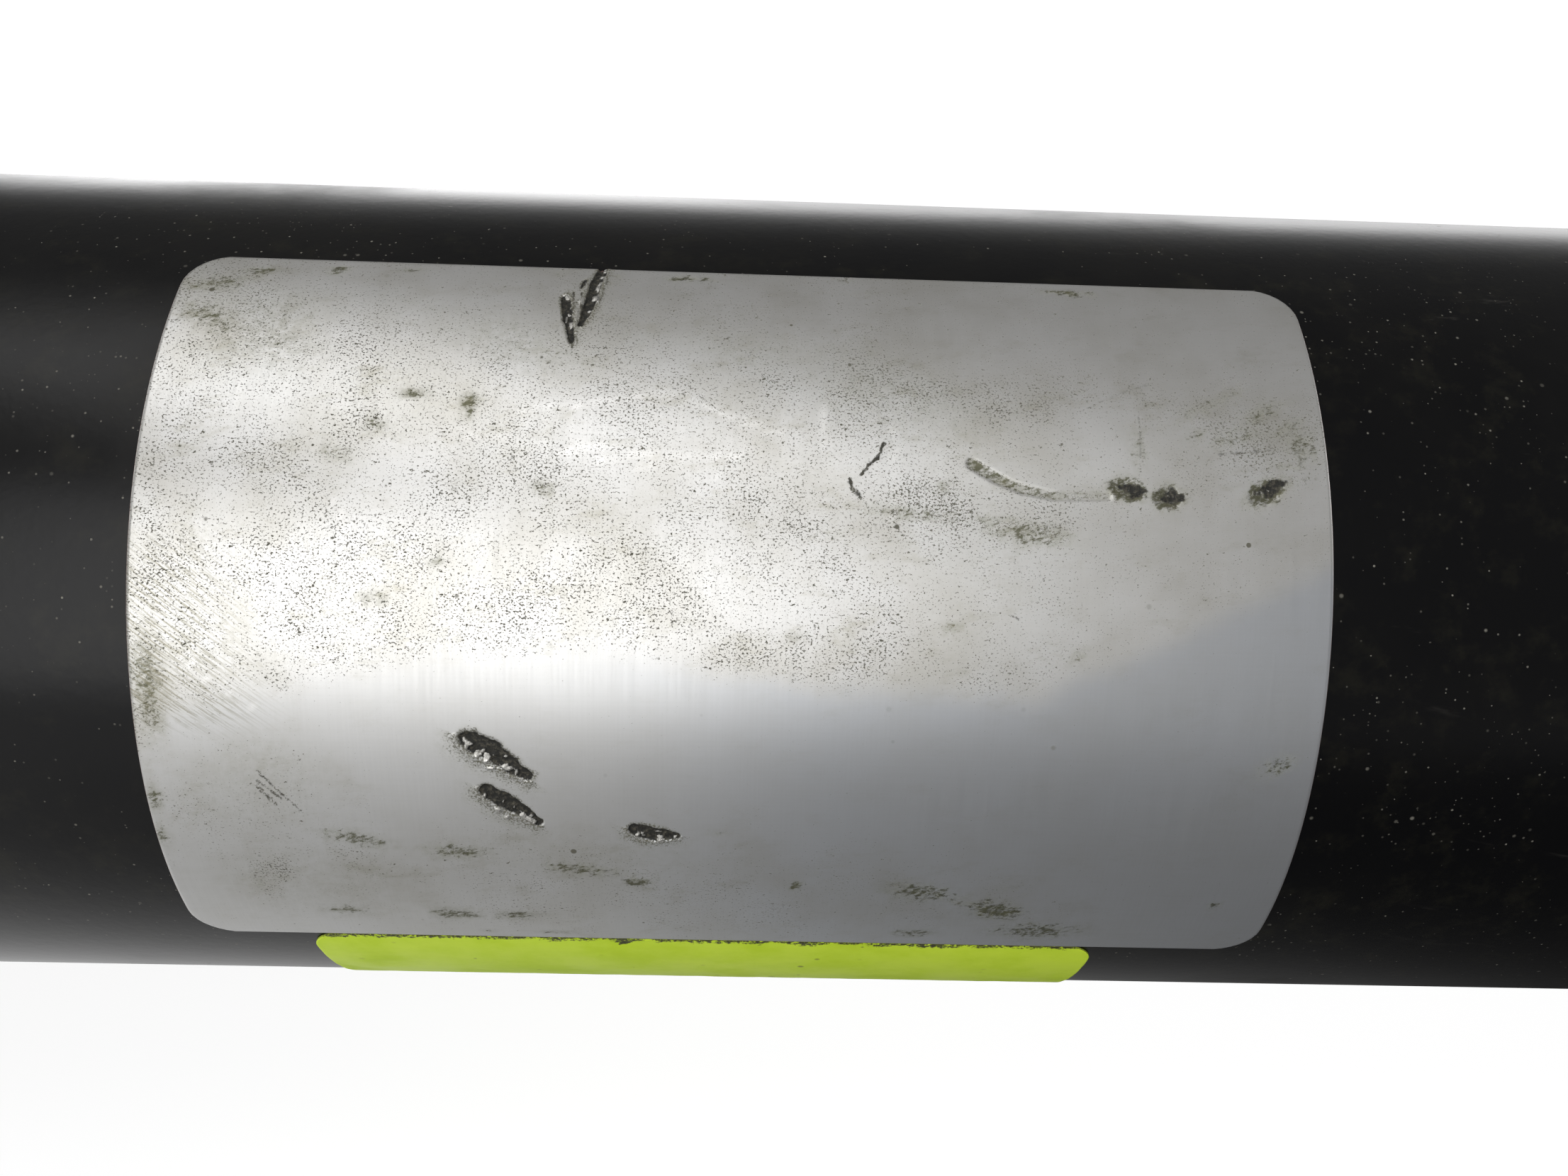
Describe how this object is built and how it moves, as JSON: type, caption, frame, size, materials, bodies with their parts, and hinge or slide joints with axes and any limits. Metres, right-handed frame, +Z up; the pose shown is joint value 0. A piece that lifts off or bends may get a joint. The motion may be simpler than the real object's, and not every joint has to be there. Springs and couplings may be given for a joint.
{
  "type": "shell and tube heat exchanger",
  "caption": "Compact shell and tube heat exchanger lying on two bracket feet, with a black painted shell, bolted cast end bonnets and a worn blank data plate.",
  "frame": {"origin": "on the floor under the middle of the shell, at the centre of the four foot slots", "axes": "+X along the shell towards the bonnet with the water ports, +Z up towards the oil ports, -Y towards the data plate"},
  "size_m": [1.0286, 0.14, 0.1461],
  "materials": {
    "black_paint": "semi-gloss",
    "black_cast_iron": "semi-gloss black paint over a sand-cast skin",
    "tubesheet_brass": "machined, dull",
    "copper": "drawn copper tube, dull",
    "baffle_steel": "sheared plate",
    "gasket_fibre": "matte",
    "plated_steel": "zinc plated",
    "plate_metal": "satin, worn",
    "yellow_vinyl": "fluorescent"
  },
  "bodies": {
    "root": {"shell_tube": "black_paint", "front_hub": "black_paint", "rear_hub": "black_paint", "front_oil_port": "black_paint", "rear_oil_port": "black_paint", "front_tubesheet": "tubesheet_brass", "rear_tubesheet": "tubesheet_brass", "upper_pass_tubes": "copper", "lower_pass_tubes": "copper", "baffles": "baffle_steel", "front_gasket": "gasket_fibre", "rear_gasket": "gasket_fibre", "front_bonnet": "black_cast_iron", "rear_bonnet": "black_cast_iron", "front_vent_plug": "plated_steel", "front_drain_plug": "plated_steel", "rear_vent_plug": "plated_steel", "rear_drain_plug": "plated_steel", "front_foot": "black_paint", "rear_foot": "black_paint", "data_plate": "plate_metal", "plain_sticker": "yellow_vinyl"}
  },
  "joints": []
}
